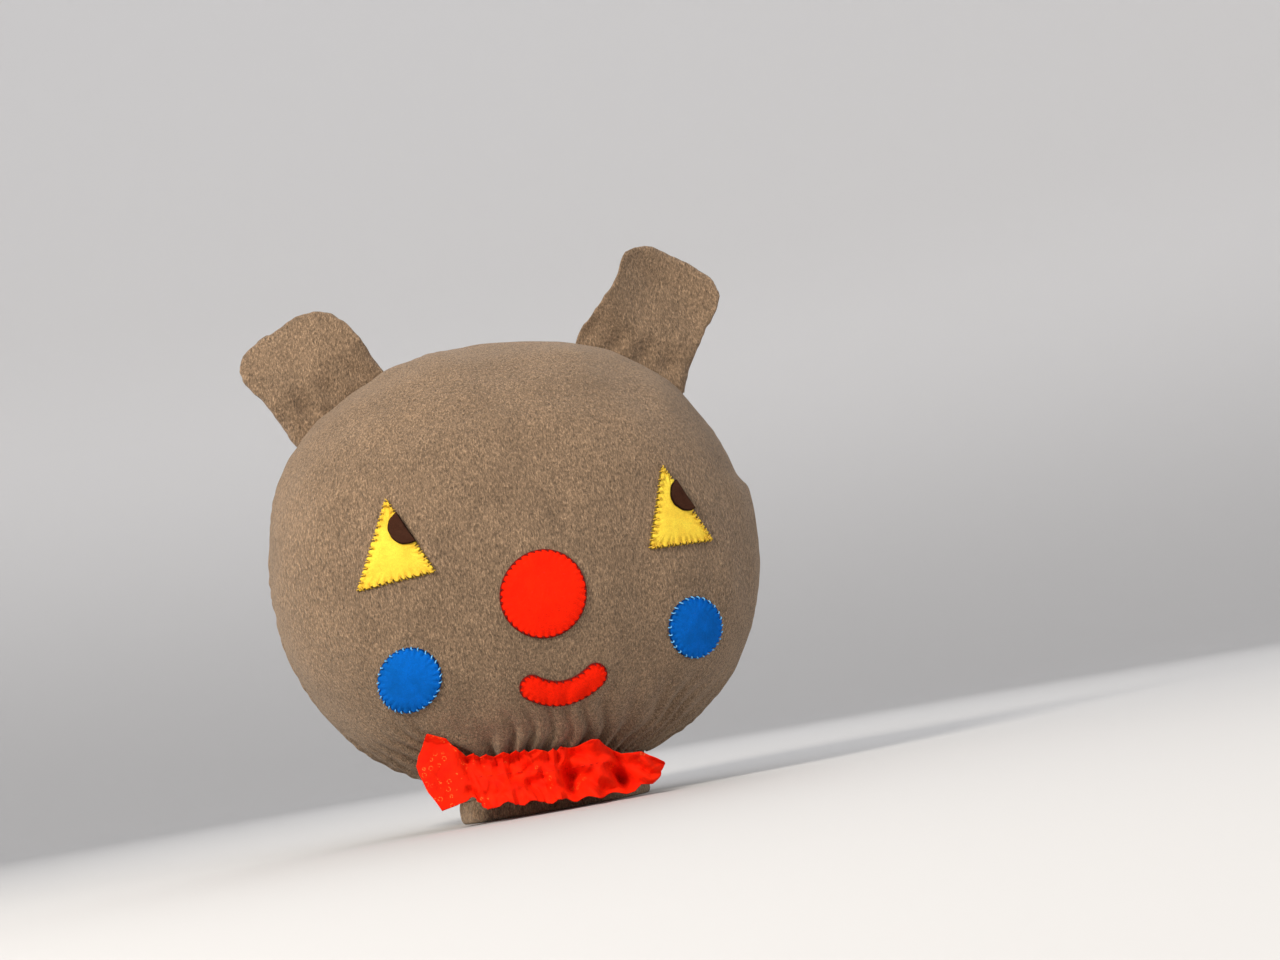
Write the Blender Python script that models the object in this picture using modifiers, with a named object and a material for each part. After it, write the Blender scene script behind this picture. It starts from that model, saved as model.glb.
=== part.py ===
"""Hand puppet: a stuffed clown bear head with a hand pocket, felt face, folding ears and a neck ruffle.

Metres. +Z is up, the face looks towards -Y, and the neck stands on Z = 0.
"Left" is the side of a person looking at the face, which is -X.
"""
from math import atan2, cos, hypot, pi, radians, sin

import bmesh
import bpy
from mathutils import Matrix, Vector

# ---- driving dimensions ----
HEAD_CENTRE_Z = 0.140       # height of the middle of the head above the foot of the neck
HEAD_HALF_WIDTH = 0.1385
HEAD_HALF_HEIGHT = 0.125
HEAD_HALF_DEPTH = 0.088
OUTLINE_POWER = 2.28        # squareness of the head's outline
PILLOW_POWER = 2.2          # fullness from the rim to the middle
FLEECE = 0.0015             # thickness of one layer of fleece
GAP = 0.0003                # clearance between two layers that touch in use

NECK_HALF_WIDTH = 0.054
NECK_HALF_DEPTH = 0.040
NECK_TOP = 0.034
HEM = 0.0045                # thickness of the folded hem of the neck

POCKET_WALL = 0.0012
POCKET_DEPTH_RATIO = 0.700  # pocket front to back against side to side
POCKET_PROFILE = [(0.0489, 0.002), (0.0486, 0.020), (0.0478, 0.034), (0.0440, 0.050), (0.0390, 0.075),
                  (0.0350, 0.100), (0.0270, 0.118), (0.0130, 0.1275), (0.0, 0.130)]

FELT = 0.0013
FELT_LIFT = 0.0005
THREAD = 0.00035            # radius of the sewing thread
STITCH_PITCH = 0.0038
STITCH_IN = 0.0020          # how far a stitch reaches over the felt
STITCH_OUT = 0.0008         # how far it reaches past the edge

# felt shapes as x and height about the middle of the head
LEFT_EYE = [(-0.0742, 0.0348), (-0.0954, -0.0106), (-0.0551, -0.0080)]
RIGHT_EYE = [(0.0742, 0.0319), (0.0588, -0.0126), (0.0971, -0.0116)]
LEFT_PUPIL = (-0.0664, 0.0173)
RIGHT_PUPIL = (0.0834, 0.0145)
PUPIL_RADIUS = 0.0088
NOSE = (-0.0022, -0.0280)
NOSE_RADIUS = 0.0226
LEFT_CHEEK = (-0.0755, -0.0600)
RIGHT_CHEEK = (0.0798, -0.0566)
CHEEK_RADIUS = 0.0162
MOUTH = (0.0028, -0.0797)
MOUTH_HALF_LENGTH = 0.0232
MOUTH_HALF_WIDTH = 0.0060
MOUTH_SAG = 0.0105
MOUTH_TILT = 0.02

EAR_ROOT_ANGLE = 41.0       # of the ear's middle from the top of the head, round the rim
EAR_TILT = 30.0             # of the ear's own axis from upright
EAR_HALF_WIDTH = 0.0325
LEFT_EAR_LENGTH = 0.0620
RIGHT_EAR_LENGTH = 0.0700
EAR_HALF_THICKNESS = 0.0048
EAR_CLEAR = 0.0030          # height of the fold line above the rim
EAR_TIP_POWER = 2.7
EAR_ROOT_POWER = 6.0
EAR_FLEECE = 0.0012

RUFFLE_Y = -0.0625          # ruffle's middle line at X = 0
RUFFLE_BEND = 2.2           # how fast it curves back round the neck
RUFFLE_CLOTH = 0.0009
RUFFLE_WAVE = 0.0025
RUFFLE_PITCH = 0.0092
RUFFLE_LEFT = -0.0800
LEFT_FOLD_X = -0.0530
RIGHT_FOLD_X = 0.0310
RUFFLE_RIGHT = 0.0560
FOLD_ROOM = 0.0009

COLLECTION = "hand_puppet"
CUTTERS = "cutters"


def clear_scene():
    for obj in list(bpy.data.objects):
        bpy.data.objects.remove(obj, do_unlink=True)


def collection(name):
    made = bpy.data.collections.get(name) or bpy.data.collections.new(name)
    if name not in bpy.context.scene.collection.children:
        bpy.context.scene.collection.children.link(made)
    return made


def material(name, colour, roughness=0.9, sheen=0.0):
    mat = bpy.data.materials.get(name) or bpy.data.materials.new(name)
    mat.use_nodes = True
    shader = mat.node_tree.nodes["Principled BSDF"]
    shader.inputs["Base Color"].default_value = (*colour, 1.0)
    shader.inputs["Roughness"].default_value = roughness
    shader.inputs["Sheen Weight"].default_value = sheen
    mat.diffuse_color = (*colour, 1.0)
    return mat


def fleece(name):
    return material(name, (0.235, 0.175, 0.125), 0.95, 0.4)


def yellow_felt(name):
    return material(name, (0.92, 0.74, 0.13), 0.92, 0.2)


def brown_felt(name):
    return material(name, (0.055, 0.022, 0.012), 0.92, 0.2)


def red_felt(name):
    return material(name, (0.85, 0.035, 0.008), 0.9, 0.2)


def blue_felt(name):
    return material(name, (0.01, 0.17, 0.58), 0.9, 0.2)


def red_cloth(name):
    return material(name, (0.78, 0.03, 0.01), 0.75, 0.3)


def wadding(name):
    return material(name, (0.82, 0.80, 0.76), 1.0)


def lining(name):
    return material(name, (0.30, 0.24, 0.19), 0.95)


def thread(name, colour):
    return material(name, colour, 0.45)


def finish(name, bm, mat, smooth=True, home=None):
    bmesh.ops.recalc_face_normals(bm, faces=bm.faces)
    if all(edge.is_manifold for edge in bm.edges) and bm.calc_volume(signed=True) < 0:
        bmesh.ops.reverse_faces(bm, faces=bm.faces)
    for face in bm.faces:
        face.smooth = smooth
    mesh = bpy.data.meshes.new(name)
    bm.to_mesh(mesh)
    bm.free()
    obj = bpy.data.objects.new(name, mesh)
    (home or collection(COLLECTION)).objects.link(obj)
    if mat:
        mesh.materials.append(mat)
    return obj


def cutter(name, bm):
    obj = finish(name, bm, None, False, collection(CUTTERS))
    obj.hide_render = True
    obj.display_type = "WIRE"
    return obj


def boolean(obj, tool, operation):
    mod = obj.modifiers.new(operation.lower(), "BOOLEAN")
    mod.operation = operation
    mod.solver = "EXACT"
    mod.object = tool


def set_origin(obj, point):
    obj.data.transform(Matrix.Translation(-Vector(point)))
    obj.location = point


# ---- head surface ----
def rim_radius(angle, grow=0.0):
    across = abs(cos(angle)) / (HEAD_HALF_WIDTH + grow)
    up = abs(sin(angle)) / (HEAD_HALF_HEIGHT + grow)
    return (across ** OUTLINE_POWER + up ** OUTLINE_POWER) ** (-1 / OUTLINE_POWER)


def face_point(x, z, height):
    """Point over the face at x and z about the head's middle, the given height off the fleece."""
    across = abs(x) / HEAD_HALF_WIDTH
    up = abs(z) / HEAD_HALF_HEIGHT
    spread = across ** OUTLINE_POWER + up ** OUTLINE_POWER
    rho = spread ** (1 / OUTLINE_POWER)
    depth = max(1 - rho ** PILLOW_POWER, 0.0) ** (1 / PILLOW_POWER)
    point = Vector((x, -HEAD_HALF_DEPTH * depth, z))
    if spread < 1e-9:
        slope = Vector((0, -1, 0))
    else:
        lead = PILLOW_POWER / OUTLINE_POWER * spread ** (PILLOW_POWER / OUTLINE_POWER - 1) * OUTLINE_POWER
        gx = lead * across ** (OUTLINE_POWER - 1) / HEAD_HALF_WIDTH * (1 if x > 0 else -1)
        gz = lead * up ** (OUTLINE_POWER - 1) / HEAD_HALF_HEIGHT * (1 if z > 0 else -1)
        gy = -PILLOW_POWER * depth ** (PILLOW_POWER - 1) / HEAD_HALF_DEPTH
        slope = Vector((gx, gy, gz)).normalized()
    return point + slope * height + Vector((0, 0, HEAD_CENTRE_Z))


def head_ball(shrink):
    bm = bmesh.new()
    bmesh.ops.create_uvsphere(bm, u_segments=40, v_segments=16, radius=1.0)
    for vert in bm.verts:
        x, y, z = vert.co.x, -vert.co.z, vert.co.y
        flat = min(hypot(x, z), 1.0)
        angle = atan2(z, x)
        reach = flat ** (2 / PILLOW_POWER) * rim_radius(angle, -shrink)
        depth = abs(y) ** (2 / PILLOW_POWER) * (HEAD_HALF_DEPTH - shrink)
        vert.co = Vector((reach * cos(angle), depth if y > 0 else -depth, reach * sin(angle) + HEAD_CENTRE_Z))
    return bm


def box(x0, x1, y0, y1, z0, z1):
    bm = bmesh.new()
    bmesh.ops.create_cube(bm, size=1.0)
    for vert in bm.verts:
        vert.co = Vector((x0 + (vert.co.x + 0.5) * (x1 - x0),
                          y0 + (vert.co.y + 0.5) * (y1 - y0),
                          z0 + (vert.co.z + 0.5) * (z1 - z0)))
    return bm


def oval_column(half_width, half_depth, z0, z1, segments=40):
    bm = bmesh.new()
    bmesh.ops.create_cone(bm, cap_ends=True, segments=segments, radius1=1.0, radius2=1.0, depth=1.0)
    for vert in bm.verts:
        vert.co = Vector((vert.co.x * half_width, vert.co.y * half_depth, z0 + (vert.co.z + 0.5) * (z1 - z0)))
    return bm


def pocket_shape(grow, wall):
    """Blind tube that tapers upwards; a wall of zero gives the solid it fills."""
    outer = [(max(r + grow, 0.0) if r > 0 else 0.0, z + (grow if r < 0.02 else 0.0)) for r, z in POCKET_PROFILE]
    if wall:
        inner = [(max(r - wall, 0.0), z - (wall if r < 0.02 else 0.0)) for r, z in POCKET_PROFILE]
        line = outer[::-1] + inner
    else:
        line = outer[::-1] + [(outer[0][0], -0.01), (0.0, -0.01)]
    bm = bmesh.new()
    verts = [bm.verts.new((r, 0, z)) for r, z in line]
    edges = [bm.edges.new(pair) for pair in zip(verts, verts[1:])]
    bmesh.ops.spin(bm, geom=verts + edges, axis=(0, 0, 1), cent=(0, 0, 0), steps=24, angle=2 * pi,
                   use_merge=True, use_duplicate=False)
    bmesh.ops.remove_doubles(bm, verts=bm.verts, dist=0.00005)
    bmesh.ops.scale(bm, vec=(1, POCKET_DEPTH_RATIO, 1), verts=bm.verts)
    return bm


def head_panels():
    inner = cutter("fleece_inside", head_ball(FLEECE))
    neck = cutter("neck_hole", oval_column(NECK_HALF_WIDTH + GAP, NECK_HALF_DEPTH + GAP, -0.01, NECK_TOP + GAP))
    front = cutter("front_half", box(-0.2, 0.2, -0.2, -GAP / 2, -0.1, 0.4))
    back = cutter("back_half", box(-0.2, 0.2, GAP / 2, 0.2, -0.1, 0.4))
    for name, half in (("face_panel", front), ("back_panel", back)):
        panel = finish(name, head_ball(0.0), fleece(name + "_fleece"))
        boolean(panel, inner, "DIFFERENCE")
        boolean(panel, half, "INTERSECT")
        boolean(panel, neck, "DIFFERENCE")


def head_stuffing():
    stuffing = finish("head_stuffing", head_ball(FLEECE + GAP), wadding("stuffing_fibre"))
    boolean(stuffing, cutter("pocket_room", pocket_shape(GAP, 0.0)), "DIFFERENCE")
    room = oval_column(NECK_HALF_WIDTH + GAP, NECK_HALF_DEPTH + GAP, -0.01, NECK_TOP + GAP)
    boolean(stuffing, cutter("neck_room", room), "DIFFERENCE")


def hand_pocket():
    finish("hand_pocket", pocket_shape(0.0, POCKET_WALL), lining("pocket_lining"))


def neck_cuff():
    ring = finish("neck_cuff", oval_column(NECK_HALF_WIDTH, NECK_HALF_DEPTH, 0.0, NECK_TOP), fleece("cuff_fleece"))
    hole = oval_column(NECK_HALF_WIDTH - HEM, NECK_HALF_DEPTH - HEM, -0.01, NECK_TOP + 0.01)
    boolean(ring, cutter("neck_bore", hole), "DIFFERENCE")
    edge = ring.modifiers.new("hem_fold", "BEVEL")
    edge.width = 0.0008
    edge.segments = 2
    edge.limit_method = "ANGLE"
    edge.angle_limit = radians(60)


# ---- felt and thread ----
def drape(bm, height):
    for vert in bm.verts:
        vert.co = face_point(vert.co.x, vert.co.z, height)


def felt_piece(name, bm, mat, height):
    drape(bm, height)
    obj = finish(name, bm, mat)
    slope = sum((poly.normal.y for poly in obj.data.polygons))
    if slope > 0:
        obj.data.flip_normals()
    skin = obj.modifiers.new("felt", "SOLIDIFY")
    skin.thickness = FELT
    skin.offset = 1.0
    skin.use_even_offset = True
    return obj


def disc(centre, radius, segments=24):
    bm = bmesh.new()
    bmesh.ops.create_circle(bm, cap_ends=True, cap_tris=True, segments=segments, radius=radius)
    bmesh.ops.subdivide_edges(bm, edges=bm.edges, cuts=1, use_grid_fill=True)
    for vert in bm.verts:
        flat = hypot(vert.co.x, vert.co.y)
        rim = radius / flat if flat > 0.9 * radius else 1.0
        vert.co = Vector((centre[0] + vert.co.x * rim, 0, centre[1] + vert.co.y * rim))
    return bm


def triangle(corners):
    bm = bmesh.new()
    bm.faces.new([bm.verts.new((x, 0, z)) for x, z in corners])
    bmesh.ops.subdivide_edges(bm, edges=bm.edges, cuts=5, use_grid_fill=True)
    bmesh.ops.triangulate(bm, faces=bm.faces)
    return bm


def eye_edge(corners):
    """Top corner and lower corner of the slanted edge that looks right."""
    return Vector((corners[0][0], 0, corners[0][1])), Vector((corners[2][0], 0, corners[2][1]))


def pupil_disc(centre, corners):
    """Disc trimmed flush with the right edge of its eye."""
    bm = disc(centre, PUPIL_RADIUS)
    top, low = eye_edge(corners)
    along = (low - top).normalized()
    outwards = Vector((-along.z, 0, along.x))
    inset = top - outwards * 0.0004
    bmesh.ops.bisect_plane(bm, geom=bm.verts[:] + bm.edges[:] + bm.faces[:], dist=0.00001,
                           plane_co=inset, plane_no=outwards, clear_outer=True)
    return bm


def mouth_line(s):
    """Middle line of the smile and its direction, s from -1 at the left end to 1 at the right."""
    x = s * MOUTH_HALF_LENGTH
    z = MOUTH_SAG * s * s + MOUTH_TILT * x
    slope = Vector((MOUTH_HALF_LENGTH, 0, 2 * MOUTH_SAG * s + MOUTH_TILT * MOUTH_HALF_LENGTH)).normalized()
    return Vector((MOUTH[0] + x, 0, MOUTH[1] + z)), slope


def mouth_half(s):
    return MOUTH_HALF_WIDTH * max(1 - abs(s) ** 6, 0.0) ** 0.5


def mouth_sheet():
    bm = bmesh.new()
    bmesh.ops.create_grid(bm, x_segments=16, y_segments=2, size=1.0)
    for vert in bm.verts:
        s = sin(vert.co.x * pi / 2)
        middle, along = mouth_line(s)
        across = Vector((-along.z, 0, along.x))
        vert.co = middle + across * (vert.co.y * mouth_half(s))
    bmesh.ops.remove_doubles(bm, verts=bm.verts, dist=0.00005)
    return bm


def circle_outline(centre, radius, start=0.0):
    count = round(2 * pi * radius / STITCH_PITCH)
    angles = [start + 2 * pi * k / count for k in range(count)]
    return [((centre[0] + radius * cos(t), centre[1] + radius * sin(t)), (cos(t), sin(t))) for t in angles]


def edge_points(start, end, first, last):
    """Stitch places along one straight edge with the outward direction, run clockwise as seen."""
    length = hypot(end[0] - start[0], end[1] - start[1])
    along = ((end[0] - start[0]) / length, (end[1] - start[1]) / length)
    count = max(2, round((last - first) * length / STITCH_PITCH) + 1)
    steps = [first + (last - first) * k / (count - 1) for k in range(count)]
    return [((start[0] + along[0] * length * t, start[1] + along[1] * length * t), (-along[1], along[0]))
            for t in steps]


def eye_outline(corners, pupil):
    """Round the eye from below the pupil to above it, so the thread stays clear of the pupil."""
    top, left, right = corners
    length = hypot(right[0] - top[0], right[1] - top[1])
    along = ((right[0] - top[0]) / length, (right[1] - top[1]) / length)
    at = ((pupil[0] - top[0]) * along[0] + (pupil[1] - top[1]) * along[1]) / length
    reach = (PUPIL_RADIUS + 0.0020) / length
    lower = edge_points(top, right, at + reach, 0.92)
    foot = edge_points(right, left, 0.08, 0.92)
    outer = edge_points(left, top, 0.07, 0.91)
    upper = edge_points(top, right, 0.10, at - reach) if at - reach > 0.16 else []
    return lower + foot + outer + upper


def mouth_outline():
    places = []
    count = round(2 * MOUTH_HALF_LENGTH / STITCH_PITCH)
    for side in (1, -1):
        for k in range(count):
            s = side * (-0.93 + 1.86 * k / (count - 1))
            middle, along = mouth_line(s)
            across = Vector((-along.z, 0, along.x)) * side
            lean = along * s * abs(s) ** 5 * 0.9
            out = (across + lean).normalized()
            edge = middle + across * mouth_half(s)
            places.append(((edge.x, edge.z), (out.x, out.z)))
    return places


def stitching(name, places, colour, closed):
    """One thread in slanting stitches over a felt edge."""
    height = FELT_LIFT + FELT + GAP + THREAD
    line = []
    for k, (place, out) in enumerate(places):
        follow = places[(k + 1) % len(places)]
        line.append(face_point(place[0] - out[0] * STITCH_IN, place[1] - out[1] * STITCH_IN, height))
        if closed or k + 1 < len(places):
            middle = [(a + b) / 2 for a, b in zip(place, follow[0])]
            outwards = Vector((out[0] + follow[1][0], out[1] + follow[1][1])).normalized()
            line.append(face_point(middle[0] + outwards.x * STITCH_OUT, middle[1] + outwards.y * STITCH_OUT, height))
    return tube(name, line, THREAD, thread(name + "_cotton", colour), closed)


def tube(name, line, radius, mat, closed, sides=0):
    curve = bpy.data.curves.new(name, "CURVE")
    curve.dimensions = "3D"
    curve.bevel_depth = radius
    curve.bevel_resolution = sides
    curve.use_fill_caps = True
    spline = curve.splines.new("POLY")
    spline.points.add(len(line) - 1)
    for point, co in zip(spline.points, line):
        point.co = (*co, 1.0)
    spline.use_cyclic_u = closed
    drawn = bpy.data.objects.new(name + "_path", curve)
    mesh = bpy.data.meshes.new_from_object(drawn)
    bpy.data.objects.remove(drawn)
    bpy.data.curves.remove(curve)
    bm = bmesh.new()
    bm.from_mesh(mesh)
    bpy.data.meshes.remove(mesh)
    bmesh.ops.remove_doubles(bm, verts=bm.verts, dist=0.00001)
    return finish(name, bm, mat)


def face():
    yellow = (0.95, 0.80, 0.20)
    for side, corners, pupil in (("left", LEFT_EYE, LEFT_PUPIL), ("right", RIGHT_EYE, RIGHT_PUPIL)):
        felt_piece(side + "_eye", triangle(corners), yellow_felt(side + "_eye_felt"), FELT_LIFT)
        height = FELT_LIFT + FELT + GAP
        felt_piece(side + "_pupil", pupil_disc(pupil, corners), brown_felt(side + "_pupil_felt"), height)
        stitching(side + "_eye_stitching", eye_outline(corners, pupil), yellow, False)
    for side, centre in (("left", LEFT_CHEEK), ("right", RIGHT_CHEEK)):
        felt_piece(side + "_cheek", disc(centre, CHEEK_RADIUS), blue_felt(side + "_cheek_felt"), FELT_LIFT)
        stitching(side + "_cheek_stitching", circle_outline(centre, CHEEK_RADIUS), (0.10, 0.42, 0.80), True)
    felt_piece("nose", disc(NOSE, NOSE_RADIUS, 32), red_felt("nose_felt"), FELT_LIFT)
    stitching("nose_stitching", circle_outline(NOSE, NOSE_RADIUS), (0.15, 0.008, 0.005), True)
    felt_piece("mouth", mouth_sheet(), red_felt("mouth_felt"), FELT_LIFT)
    stitching("mouth_stitching", mouth_outline(), (0.15, 0.008, 0.005), True)


# ---- ears ----
def ear_frame(side):
    """Fold point on the rim, axis up the ear and axis across it."""
    angle = radians(90 - side * EAR_ROOT_ANGLE)
    reach = rim_radius(angle) + EAR_CLEAR
    root = Vector((reach * cos(angle), 0, reach * sin(angle) + HEAD_CENTRE_Z))
    up = Vector((side * sin(radians(EAR_TILT)), 0, cos(radians(EAR_TILT))))
    across = Vector((up.z, 0, -up.x))
    return root, up, across


def ear_ball(side, length, shrink):
    root, up, across = ear_frame(side)
    half = length / 2 - shrink
    wide = EAR_HALF_WIDTH - shrink
    bm = bmesh.new()
    bmesh.ops.create_uvsphere(bm, u_segments=28, v_segments=8, radius=1.0)
    for vert in bm.verts:
        x, y, z = vert.co.x, -vert.co.z, vert.co.y
        flat = min(hypot(x, z), 1.0)
        angle = atan2(z, x)
        power = EAR_TIP_POWER if z > 0 else EAR_ROOT_POWER
        edge = ((abs(cos(angle)) / wide) ** power + (abs(sin(angle)) / half) ** power) ** (-1 / power)
        reach = flat ** (2 / PILLOW_POWER) * edge
        depth = abs(y) ** (2 / PILLOW_POWER) * (EAR_HALF_THICKNESS - shrink)
        vert.co = (root + across * (reach * cos(angle)) + up * (length / 2 + reach * sin(angle))
                   + Vector((0, depth if y > 0 else -depth, 0)))
    return bm


def ear(name, side, length):
    root = ear_frame(side)[0]
    inner = cutter(name + "_inside", ear_ball(side, length, EAR_FLEECE))
    halves = (("front", -0.05, -GAP / 2), ("back", GAP / 2, 0.05))
    for part, y0, y1 in halves:
        half = cutter(name + "_" + part + "_half", box(-0.3, 0.3, y0, y1, 0.0, 0.5))
        panel = finish(name + "_" + part, ear_ball(side, length, 0.0), fleece(name + "_" + part + "_fleece"))
        set_origin(panel, root)
        boolean(panel, inner, "DIFFERENCE")
        boolean(panel, half, "INTERSECT")
    pad = finish(name + "_wadding", ear_ball(side, length, EAR_FLEECE + GAP), wadding(name + "_fibre"))
    set_origin(pad, root)


# ---- ruffle ----
def ruffle_sheet(x0, x1, low, high, steps):
    """Pleated strip across the front of the neck; low and high give the heights of its two edges at x."""
    bm = bmesh.new()
    bmesh.ops.create_grid(bm, x_segments=steps, y_segments=4, size=1.0)
    for vert in bm.verts:
        x = x0 + (x1 - x0) * (vert.co.x + 1) / 2
        rise = (vert.co.y + 1) / 2
        wave = RUFFLE_WAVE * sin(2 * pi * x / RUFFLE_PITCH) * (0.45 + 1.1 * abs(rise - 0.62))
        vert.co = Vector((x, RUFFLE_Y + RUFFLE_BEND * x * x + wave, low(x) + (high(x) - low(x)) * rise))
    return bm


def ruffle_piece(name, x0, x1, low, high, steps):
    obj = finish(name, ruffle_sheet(x0, x1, low, high, steps), red_cloth(name + "_cloth"))
    skin = obj.modifiers.new("cloth", "SOLIDIFY")
    skin.thickness = RUFFLE_CLOTH
    skin.offset = 0.0
    return obj


def line_between(x0, z0, x1, z1):
    return lambda x: z0 + (z1 - z0) * (x - x0) / (x1 - x0)


def fold_point(x):
    return Vector((x, RUFFLE_Y + RUFFLE_BEND * x * x, 0.020))


def ruffle():
    left, right = LEFT_FOLD_X, RIGHT_FOLD_X
    ruffle_piece("ruffle_middle", left + FOLD_ROOM, right - FOLD_ROOM,
                 line_between(left, 0.008, right, 0.004), line_between(left, 0.034, right, 0.033), 54)
    end = ruffle_piece("ruffle_left_end", RUFFLE_LEFT, left - FOLD_ROOM,
                       line_between(RUFFLE_LEFT, 0.011, left, 0.008),
                       line_between(RUFFLE_LEFT, 0.049, left, 0.034), 18)
    set_origin(end, fold_point(left))
    end = ruffle_piece("ruffle_right_end", right + FOLD_ROOM, RUFFLE_RIGHT,
                       line_between(right, 0.004, RUFFLE_RIGHT, 0.006),
                       line_between(right, 0.033, RUFFLE_RIGHT, 0.021), 16)
    set_origin(end, fold_point(right))
    front = RUFFLE_WAVE * 0.6 + RUFFLE_CLOTH + GAP + THREAD
    steps = [left + 0.003 + (right - left - 0.006) * k / 16 for k in range(17)]
    line = [Vector((x, RUFFLE_Y + RUFFLE_BEND * x * x - front, 0.026)) for x in steps]
    tube("ruffle_gathering_thread", line, THREAD, thread("gathering_cotton", (0.70, 0.03, 0.01)), False)


def neck_thread():
    grow = GAP + THREAD * 2
    angles = [2 * pi * k / 40 for k in range(40)]
    line = [Vector(((NECK_HALF_WIDTH + grow) * cos(t), (NECK_HALF_DEPTH + grow) * sin(t), 0.013)) for t in angles]
    tube("neck_gathering_thread", line, THREAD, thread("neck_cotton", (0.20, 0.15, 0.11)), True)


def build():
    clear_scene()
    head_panels()
    head_stuffing()
    hand_pocket()
    neck_cuff()
    neck_thread()
    face()
    ear("left_ear", -1, LEFT_EAR_LENGTH)
    ear("right_ear", 1, RIGHT_EAR_LENGTH)
    ruffle()


build()
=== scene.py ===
"""Looks of the hand puppet: fleece skin, felt face, sewing, ruffle, floor, light and camera."""

from math import cos, pi, radians, sin, sqrt

import bmesh
import bpy
import numpy as np
from mathutils import Matrix, Vector
from mathutils.bvhtree import BVHTree


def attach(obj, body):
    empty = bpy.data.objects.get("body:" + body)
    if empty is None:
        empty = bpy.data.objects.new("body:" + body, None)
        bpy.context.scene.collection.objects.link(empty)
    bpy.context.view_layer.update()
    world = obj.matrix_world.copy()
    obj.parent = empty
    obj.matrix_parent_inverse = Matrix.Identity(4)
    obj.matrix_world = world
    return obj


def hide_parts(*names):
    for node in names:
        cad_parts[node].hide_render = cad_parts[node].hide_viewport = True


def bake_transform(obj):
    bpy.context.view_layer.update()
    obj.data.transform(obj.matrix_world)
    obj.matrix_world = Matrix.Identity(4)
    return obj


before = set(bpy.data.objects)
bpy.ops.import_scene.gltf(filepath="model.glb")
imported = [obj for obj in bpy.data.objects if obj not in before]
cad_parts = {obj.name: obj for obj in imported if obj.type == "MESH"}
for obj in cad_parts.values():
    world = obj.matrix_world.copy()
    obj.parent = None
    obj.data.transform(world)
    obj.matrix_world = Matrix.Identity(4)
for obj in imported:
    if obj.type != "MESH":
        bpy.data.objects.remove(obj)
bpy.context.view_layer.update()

# ---- the CAD part's own dimensions, in metres ----
# Places on the face are given across and up from the middle of the head.
CENTRE_Z = 0.140
HALF_WIDTH, HALF_HEIGHT, HALF_DEPTH = 0.1385, 0.125, 0.088
OUTLINE, PILLOW = 2.28, 2.2  # powers of the head's outline and of its fullness
NECK_WIDE, NECK_DEEP = 0.054, 0.040
STITCH_PITCH = 0.0038
EYES = {"left": [(-0.0742, 0.0348), (-0.0954, -0.0106), (-0.0551, -0.008)],
        "right": [(0.0742, 0.0319), (0.0588, -0.0126), (0.0971, -0.0116)]}
PUPIL_AT, PUPIL_RADIUS = 0.405, 0.0091
NOSE, NOSE_RADIUS = (-0.0022, -0.028), 0.0226
CHEEKS = {"left": (-0.0755, -0.060), "right": (0.0798, -0.0566)}
CHEEK_RADIUS = 0.0161
MOUTH, MOUTH_LENGTH, MOUTH_WIDE = (0.0028, -0.0797), 0.0228, 0.0062
MOUTH_SAG, MOUTH_TILT = 0.0105, 0.02
EAR_ANGLE, EAR_TILT = 41.0, 30.0
SIDES = {"left": -1, "right": 1}
EAR_THICK = 0.005
FOLDS = {"left": -0.053, "right": 0.031}  # a place across the ruffle for each half; points either side of it go to finish_piece with the half

# ---- colours ----
FLEECE = (0.238, 0.158, 0.097)
YELLOW, BLUE, RED = (0.96, 0.68, 0.062), (0.001, 0.132, 0.56), (0.98, 0.016, 0.001)
PUPIL_BROWN = (0.050, 0.019, 0.010)
YELLOW_THREAD, BLUE_THREAD = (0.70, 0.42, 0.03), (0.13, 0.47, 0.88)
# the dark red thread is partly painted shade: as a loop it draws the dark outline round the nose and mouth
DARK_RED_THREAD_AND_EDGE_SHADE, RUFFLE_THREAD = (0.15, 0.008, 0.005), (0.80, 0.015, 0.002)
NECK_THREAD = (0.20, 0.15, 0.11)

rng = np.random.default_rng(7)


# ---- small tools ----
def mesh_object(name, verts, faces):
    mesh = bpy.data.meshes.new(name)
    mesh.from_pydata([tuple(v) for v in verts], [], [tuple(f) for f in faces])
    mesh.validate()
    mesh.shade_smooth()
    obj = bpy.data.objects.new(name, mesh)
    bpy.context.scene.collection.objects.link(obj)
    return obj


def grid(rows, columns, closed=True, flip=False, first=0):
    """Faces between rows of points, numbered from first; closed rows join up round."""
    faces = []
    for row in range(rows - 1):
        for column in range(columns if closed else columns - 1):
            a, b = (first + row * columns + c for c in (column, (column + 1) % columns))
            faces.append((a, a + columns, b + columns, b) if flip else (a, b, b + columns, a + columns))
    return faces


def vectors(items, field):
    values = np.empty(len(items) * 3)
    items.foreach_get(field, values)
    return values.reshape(-1, 3)


def points_of(obj):
    return vectors(obj.data.vertices, "co")


def normals_of(obj):
    return vectors(obj.data.vertex_normals, "vector")


def set_points(obj, points):
    obj.data.vertices.foreach_set("co", np.asarray(points, float).ravel())
    obj.data.update()


def applied(obj):
    """Gives the object the mesh that its modifiers make."""
    graph = bpy.context.evaluated_depsgraph_get()
    made = bpy.data.meshes.new_from_object(obj.evaluated_get(graph))
    made.name = obj.name
    obj.modifiers.clear()
    obj.data = made
    obj.data.shade_smooth()
    return obj


def modified(obj, kind, **settings):
    """Adds a modifier and applies it, with any that the object already has."""
    mod = obj.modifiers.new(kind.lower(), kind)
    for key, value in settings.items():
        setattr(mod, key, value)
    return applied(obj)


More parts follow.
